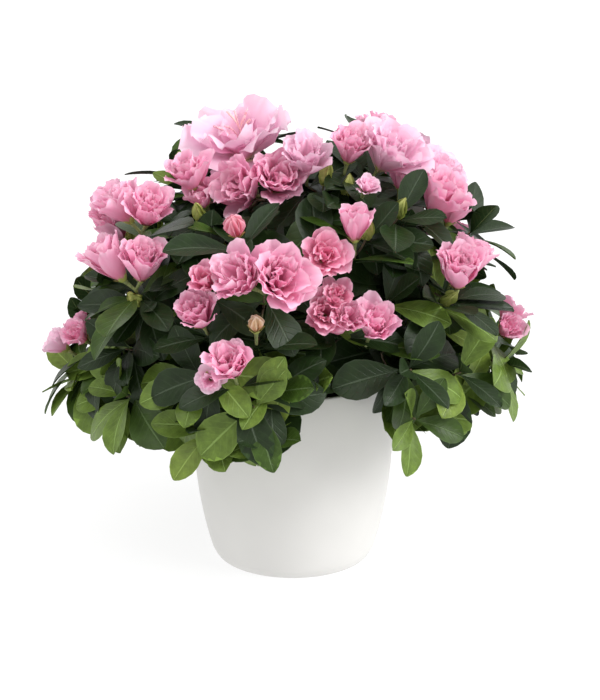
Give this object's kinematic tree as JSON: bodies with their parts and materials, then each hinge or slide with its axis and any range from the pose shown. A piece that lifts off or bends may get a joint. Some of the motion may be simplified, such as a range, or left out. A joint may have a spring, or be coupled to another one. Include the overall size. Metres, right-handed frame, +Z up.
{
  "type": "potted azalea shrub",
  "caption": "Low rounded azalea with double pink blossom and dark glossy leaves on a short stem, growing in a smooth white round pot that it overhangs.",
  "frame": {"origin": "centre of the pot's flat underside, on the surface that the pot stands on", "axes": "+Z up along the pot's axis, -Y towards the front of the plant, +X to its right"},
  "size_m": [0.3306, 0.3178, 0.3244],
  "materials": {
    "pot": "smooth satin white",
    "soil": "crumbly dark peat compost",
    "bark": "thin rough brown bark",
    "foliage": "glossy dark green leaves with pale midribs",
    "blossom": "soft ruffled pink petals, paler at the edge"
  },
  "bodies": {
    "root": {"pot": "pot", "soil": "soil", "stem": "bark", "foliage_top_1": "foliage", "bough_top_1": "bark", "foliage_top_2": "foliage", "bough_top_2": "bark", "foliage_upper_1": "foliage", "bough_upper_1": "bark", "foliage_upper_2": "foliage", "bough_upper_2": "bark", "foliage_upper_3": "foliage", "bough_upper_3": "bark", "foliage_upper_4": "foliage", "bough_upper_4": "bark", "foliage_upper_5": "foliage", "bough_upper_5": "bark", "foliage_upper_6": "foliage", "bough_upper_6": "bark", "foliage_upper_7": "foliage", "bough_upper_7": "bark", "foliage_skirt_1": "foliage", "bough_skirt_1": "bark", "foliage_skirt_2": "foliage", "bough_skirt_2": "bark", "foliage_skirt_3": "foliage", "bough_skirt_3": "bark", "foliage_skirt_4": "foliage", "bough_skirt_4": "bark", "foliage_skirt_5": "foliage", "bough_skirt_5": "bark", "foliage_skirt_6": "foliage", "bough_skirt_6": "bark", "foliage_skirt_7": "foliage", "bough_skirt_7": "bark", "foliage_skirt_8": "foliage", "bough_skirt_8": "bark", "foliage_skirt_9": "foliage", "bough_skirt_9": "bark"}
  },
  "joints": []
}
